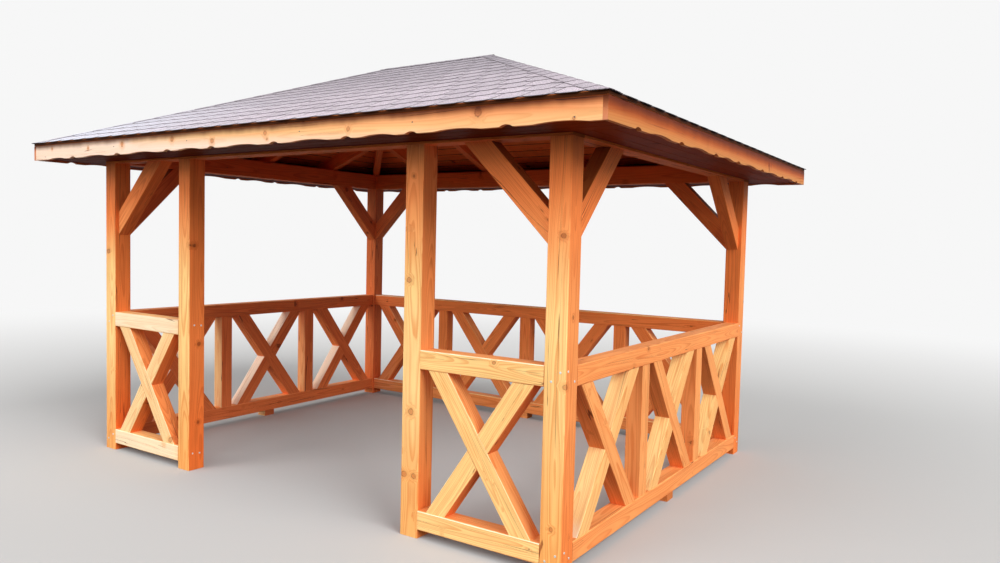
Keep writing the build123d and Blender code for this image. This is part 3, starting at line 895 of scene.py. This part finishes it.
def fold_cap(bm, tone_layer, start, along, sides, length):
    """One cap: a flat piece folded over the line from start along, with a wing on each of two slopes."""
    normals = [slope_normal(side) for side in sides]
    crown = (normals[0] + normals[1]).normalized()
    wings = []
    for normal in normals:
        wing = along.cross(normal).normalized()
        wings.append(wing if wing.dot(normals[0] + normals[1] - 2 * normal) < 0 else -wing)
    share = 1.0 / max(0.2, crown.dot(normals[0]))
    tone = rng.random() - 0.6
    stations = [0.0, 0.012, length / 2, length]
    rows = []
    for station in stations:
        raised = cap_base + cap_lap * (1 - station / cap_length)
        corner_in = cap_corner if station == 0.0 else 0.0
        for lift in (raised, raised + cap_thickness):
            spine = start + along * station
            left, right = [[spine + wing * out + normal * lift for out in (cap_wing - corner_in, cap_bend)]
                           for wing, normal in zip(wings, normals)]
            ridge = spine + crown * (lift * share - 0.0012)
            rows.append([left[0], left[1], ridge, right[1], right[0]])
    verts = [[bm.verts.new(point) for point in row] for row in rows]
    count = len(stations)
    for n in range(count - 1):
        low, high, next_low, next_high = verts[2 * n:2 * n + 4]
        for column in range(4):
            under = bm.faces.new((low[column], low[column + 1], next_low[column + 1], next_low[column]))
            under.material_index = 1
            top = bm.faces.new((high[column + 1], high[column], next_high[column], next_high[column + 1]))
            under[tone_layer] = top[tone_layer] = tone
        for column in (0, 4):
            side = bm.faces.new((low[column], high[column], next_high[column], next_low[column]))
            side.material_index = 1
    for low, high in (verts[:2], verts[-2:]):
        for column in range(4):
            end = bm.faces.new((low[column], low[column + 1], high[column + 1], high[column]))
            end.material_index = 1


bm = bmesh.new()
tone_layer = bm.faces.layers.float.new("tone")
for sides in (("front", "right"), ("right", "back"), ("back", "left"), ("left", "front")):
    half = slopes[sides[0]][2]
    foot = on_slope(sides[0], half + shingle_reach, -shingle_reach, deck_lift)
    head = on_slope(sides[0], half - eave_y, eave_y, deck_lift)
    along = (head - foot).normalized()
    length = (head - foot).length
    at = -0.004
    while at < length - shortest_cap:
        fold_cap(bm, tone_layer, foot + along * at, along, sides, min(cap_length, length - at))
        at += cap_exposure
left_end = on_slope("front", -ridge_half, eave_y, deck_lift)
right_end = on_slope("front", ridge_half, eave_y, deck_lift)
along = (right_end - left_end).normalized()
length = (right_end - left_end).length + ridge_overhang
at = -ridge_overhang
over_hips = Vector((0, 0, 0.0006))
while at < length - shortest_cap:
    start = left_end + along * at + over_hips
    fold_cap(bm, tone_layer, start, along, ("front", "back"), min(cap_length, length - at))
    at += cap_exposure
for _, inward, _, reach in slopes.values():
    trim(bm, -inward * (reach + 0.013), -inward)
new_piece("hip_and_ridge_caps", bm, [granule_face, felt_edge], "shingle")

# Screws and nails
# Domed zinc-plated screws with a six-point recess, driven through the posts into the ends of the rails,
# and one nail through the fascia into each rafter tail.


def zinc():
    """Bright zinc with a fine spangle."""
    material, tree, shader = new_finish("zinc_plate")
    spangle = mottle(tree, add(tree, "TexCoord", {}).outputs["Object"], 900.0, 2.0).outputs[0]
    colour = tint(tree, spangle, (0.62, 0.62, 0.60), (0.88, 0.88, 0.86))
    roughness = scaled(tree, spangle, 0.2, 0.25)
    feed(tree, shader, {"Base Color": colour, "Metallic": 1.0, "Roughness": roughness})
    return material


def drive(bm, spot, outward, radius, dome, recess):
    """A fastener head: a low dome with a six-point recess in its middle."""
    around = 24
    across = outward.orthogonal().normalized()
    upward = outward.cross(across)
    profile = [(radius, -0.001), (radius, dome * 0.35), (radius * 0.8, dome * 0.8), (recess * 1.05, dome),
               (recess, dome * 0.9), (recess * 0.85, dome * 0.2)]
    rings = []
    for n, (distance, height) in enumerate(profile):
        ring = []
        for m in range(around):
            turn = math.tau * m / around
            star = 1.0 - 0.16 * math.cos(6 * turn) if n > 2 else 1.0
            toward = across * math.cos(turn) + upward * math.sin(turn)
            ring.append(bm.verts.new(spot + toward * distance * star + outward * height))
        rings.append(ring)
    for a, b in zip(rings, rings[1:]):
        for m in range(around):
            bm.faces.new((a[m], a[(m + 1) % around], b[(m + 1) % around], b[m]))
    bm.faces.new(rings[-1])


screw_radius, screw_dome, screw_recess = 0.0062, 0.0022, 0.0026
# How far each screw stands off the middle of the post, and how high
screw_spots = {
    "across": ((-0.038, 1.000), (0.030, 0.944), (-0.027, 0.124), (0.022, 0.084)),
    "along": ((-0.019, 0.946), (0.030, 0.994), (-0.028, 0.074), (0.029, 0.111)),
    "entry": ((-0.020, 0.989), (0.033, 0.984), (-0.030, 0.115), (0.024, 0.108)),
}
bm = bmesh.new()
for x, y, outward, pattern in (
        (-post_x, -post_y, (-1, 0, 0), "across"), (-entry_x, -post_y, (1, 0, 0), "entry"),
        (entry_x, -post_y, (-1, 0, 0), "entry"), (post_x, -post_y, (1, 0, 0), "across"),
        (post_x, -post_y, (0, -1, 0), "along"), (-post_x, -post_y, (0, -1, 0), "along"),
        (post_x, post_y, (0, 1, 0), "along"), (-post_x, post_y, (0, 1, 0), "along"),
        (post_x, post_y, (1, 0, 0), "across"), (-post_x, post_y, (-1, 0, 0), "across")):
    outward = Vector(outward)
    for aside, height in screw_spots[pattern]:
        sideways = Vector((aside, 0, 0)) if outward.x == 0 else Vector((0, aside, 0))
        spot = Vector((x, y, height)) + outward * face + sideways
        drive(bm, spot, outward, screw_radius, screw_dome, screw_recess)
new_piece("rail_screws", bm, [zinc()], "balustrade_timber")

nail_radius, nail_dome, nail_recess = 0.0035, 0.0006, 0.0012
nail_z, corner_nail_z = 2.158, 2.125
jack_x, corner_x = ridge_half + jack_spacing, 2.115
bm = bmesh.new()
for sense in (-1, 1):
    for x in (-corner_x, -jack_x, -ridge_half, ridge_half, jack_x, corner_x):
        z = corner_nail_z if abs(x) == corner_x else nail_z
        spot = Vector((x, sense * eave_y, z))
        drive(bm, spot, Vector((0, sense, 0)), nail_radius, nail_dome, nail_recess)
for sense in (-1, 1):
    for y in (-jack_spacing, 0.0, jack_spacing):
        spot = Vector((sense * eave_x, y, nail_z))
        drive(bm, spot, Vector((sense, 0, 0)), nail_radius, nail_dome, nail_recess)
new_piece("fascia_nails", bm, [felt_edge], "fascia_board")

# Ground, light and camera
# A plain pale floor, soft light from the front left, from the right and all round,
# and the camera at eye level near the front right corner.
studio_white = 0.93


def seen_white(tree):
    """Whether a ray comes from the camera, or by way of a mirror or glass: there all round is white."""
    light_path = add(tree, "LightPath", {}).outputs
    seen = calc(tree, "MAXIMUM", light_path["Is Camera Ray"], light_path["Is Glossy Ray"])
    return calc(tree, "MAXIMUM", seen, light_path["Is Transmission Ray"])


def ground_finish():
    """Pale floor that keeps the shadow of the object and runs out into the white round it."""
    material, tree, shader = new_finish("pale_floor")
    seen = seen_white(tree)
    colour = tint(tree, seen, (0.090, 0.097, 0.121), (0.540, 0.540, 0.540))
    feed(tree, shader, {"Base Color": colour, "Roughness": 0.9, "Specular IOR Level": 0.0})
    distance = vector_calc(tree, "LENGTH", add(tree, "TexCoord", {}).outputs["Object"], single=True)
    glow = times(tree, seen, studio_white)
    white = add(tree, "Emission", {"Color": (1.0, 1.0, 1.0), "Strength": glow})
    runout = fade(tree, distance, 3.5, 13.0)
    blend = add(tree, "MixShader", {0: runout, 1: shader.outputs[0], 2: white.outputs[0]})
    tree.links.new(blend.outputs[0], tree.nodes["Material Output"].inputs["Surface"])
    return material


bm = bmesh.new()
bmesh.ops.create_grid(bm, x_segments=1, y_segments=1, size=60.0)
floor = new_object("floor", new_mesh("floor", bm, ground_finish()))
floor.location = (0, 0, -0.0005)

world = bpy.data.worlds.new("studio")
bpy.context.scene.world = world
world.use_nodes = True
studio = world.node_tree
direction = add(studio, "TexCoord", {}).outputs["Generated"]
frontward = vector_calc(studio, "DOT_PRODUCT", direction, (-0.25, -0.97, 0.0), single=True)
dome = calc(studio, "MULTIPLY", fade(studio, split(studio, direction)[2], 0.0, 0.9, 1.05, 0.42),
            fade(studio, frontward, -0.7, 1.0, 0.55, 1.45))
strength = add(studio, "Mix", {0: seen_white(studio), 2: dome, 3: studio_white})
feed(studio, studio.nodes["Background"], {"Color": (1.0, 1.0, 1.0), "Strength": strength.outputs[0]})

for name, toward, energy in (("front_softbox", (-0.28, -0.78, 0.47), 1.29),
                             ("side_softbox", (0.74, -0.20, 0.54), 2.9)):
    lamp_data = bpy.data.lights.new(name, "SUN")
    lamp_data.energy = energy
    lamp_data.angle = math.radians(40)
    lamp_data.color = (1.0, 0.99, 0.97)
    lamp = new_object(name, lamp_data)
    lamp.rotation_euler = (-Vector(toward)).to_track_quat("-Z", "Y").to_euler()

camera = bpy.data.cameras.new("camera")
camera.sensor_width = 36.0
camera.lens = 27.89
camera.clip_end = 200.0
viewer = new_object("camera", camera)
turn, tilt, roll = math.radians(33.175), math.radians(-2.995), math.radians(1.385)
viewer.matrix_world = (Matrix.Translation((3.6344, -4.6387, 1.6074)) @ Matrix.Rotation(turn, 4, "Z")
                       @ Matrix.Rotation(math.pi / 2 + tilt, 4, "X") @ Matrix.Rotation(roll, 4, "Z"))
bpy.context.scene.camera = viewer
bpy.context.scene.view_settings.view_transform = "Standard"
